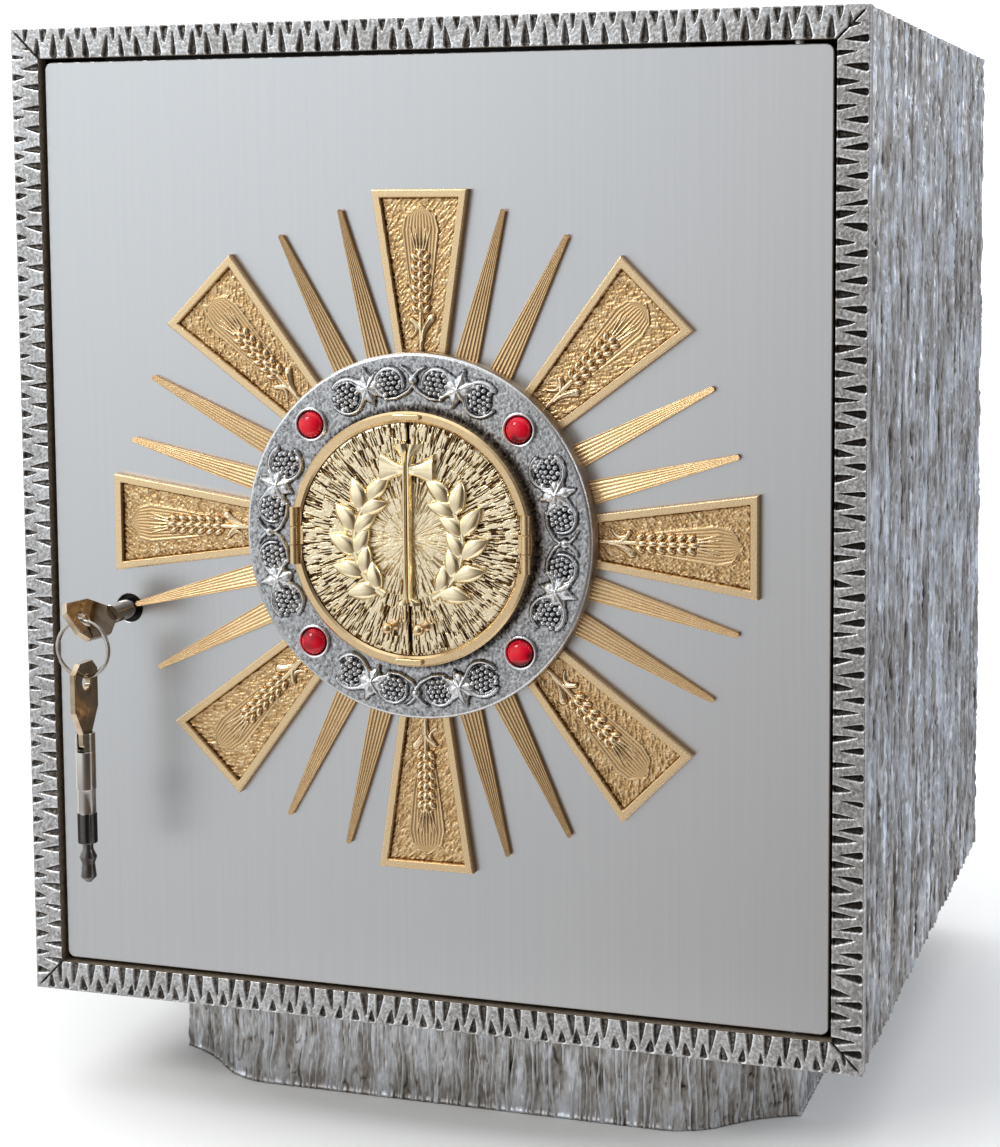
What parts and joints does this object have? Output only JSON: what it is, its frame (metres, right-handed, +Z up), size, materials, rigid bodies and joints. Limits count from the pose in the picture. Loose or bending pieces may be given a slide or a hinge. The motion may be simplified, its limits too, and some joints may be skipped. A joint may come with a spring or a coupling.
{
  "type": "tabernacle box",
  "caption": "Box-shaped cast metal tabernacle on a plinth, with a keyed pivot door bearing a gilt ray star, a jewelled medallion and a round window behind two small leaves.",
  "frame": {"origin": "centre of the plinth underside, on the surface that the box stands on", "axes": "+X to the right seen from the front, the door faces -Y, +Z up"},
  "size_m": [0.33, 0.3502, 0.4175],
  "materials": {
    "bark": "antiqued cast bark",
    "antique": "antiqued cast",
    "steel": "plain",
    "fastener": "zinc plated",
    "gilt_liner": "satin gilt",
    "rubber": "matte",
    "satin": "vertical satin brushing",
    "dark": "blackened",
    "bronze": "turned",
    "gold": "satin gilt",
    "medal": "antiqued silver plate",
    "stone": "polished cabochon",
    "pane": "clear",
    "leaf_gold": "chased and polished gilt",
    "nickel": "nickel plated"
  },
  "bodies": {
    "cabinet": {"side_left": "bark", "side_right": "bark", "top_panel": "bark", "floor_panel": "bark", "back_panel": "bark", "rail_top": "antique", "rail_bottom": "antique", "rail_left": "antique", "rail_right": "antique", "plinth_front": "bark", "plinth_back": "bark", "plinth_sides": "bark", "base_plate": "steel", "plinth_posts": "steel", "plinth_bolts": "fastener", "liner": "gilt_liner", "pivot_blocks": "steel", "pivot_pins": "fastener", "stop_bars": "steel", "buffers": "rubber", "strike": "steel"},
    "door": {"door_plate": "satin", "door_bars": "steel", "door_back": "steel", "door_screws": "fastener", "pivot_lugs": "bronze", "lock_case": "steel", "lock_cover": "steel", "keyhole_sleeve": "dark", "window_rim": "gold", "window_glass": "pane", "glass_retainer": "gold", "medallion": "medal", "vine_garlands": "medal", "stones": "stone", "wheat_ray_1": "gold", "wheat_ray_2": "gold", "wheat_ray_3": "gold", "wheat_ray_4": "gold", "wheat_ray_5": "gold", "wheat_ray_6": "gold", "wheat_ray_7": "gold", "wheat_ray_8": "gold", "slim_rays": "gold", "leaf_pins": "gold"},
    "left_leaf": {"leaf_left": "leaf_gold", "ornament_left": "leaf_gold", "knob_left": "leaf_gold"},
    "right_leaf": {"leaf_right": "leaf_gold", "ornament_right": "leaf_gold", "knob_right": "leaf_gold"},
    "bolt": {"deadbolt": "fastener"},
    "lock_key": {"lock_rotor": "bronze", "key_stem": "nickel", "key_rivet": "nickel"},
    "bow": {"key_bow": "nickel"},
    "ring": {"key_ring": "nickel"},
    "spare": {"spare_stem": "nickel", "spare_bow": "nickel", "spare_rivet": "nickel"}
  },
  "joints": [
    {"name": "door_swing", "type": "hinge", "parent": "cabinet", "child": "door", "pos_m": [0.1392, -0.1467, 0.23], "axis": [0, 0, 1], "range_deg": [0, 110]},
    {"name": "left_leaf_swing", "type": "hinge", "parent": "door", "child": "left_leaf", "pos_m": [-0.0438, -0.17, 0.23], "axis": [0, 0, -1], "range_deg": [0, 100]},
    {"name": "right_leaf_swing", "type": "hinge", "parent": "door", "child": "right_leaf", "pos_m": [0.0458, -0.17, 0.23], "axis": [0, 0, 1], "range_deg": [0, 100]},
    {"name": "key_turn", "type": "hinge", "parent": "door", "child": "lock_key", "pos_m": [-0.1215, -0.15, 0.1963], "axis": [0, 1, 0], "range_deg": [0, 90]},
    {"name": "bolt_slide", "type": "slide", "parent": "door", "child": "bolt", "axis": [-1, 0, 0], "range_m": [0, 0.0095]},
    {"name": "bow_fold", "type": "hinge", "parent": "lock_key", "child": "bow", "pos_m": [-0.1215, -0.1645, 0.1963], "axis": [-0.766, 0, -0.6428], "range_deg": [-2, 40]},
    {"name": "ring_swing", "type": "hinge", "parent": "bow", "child": "ring", "pos_m": [-0.12226, -0.18697, 0.1971], "axis": [-1, 0, 0], "range_deg": [-5, 60]},
    {"name": "spare_swing", "type": "hinge", "parent": "ring", "child": "spare", "pos_m": [-0.12226, -0.18697, 0.1762], "axis": [-1, 0, 0], "range_deg": [-7, 60]}
  ],
  "couplings": [
    {"joint": "bolt_slide", "follows": "key_turn", "m_per_rad": 0.0060469}
  ]
}
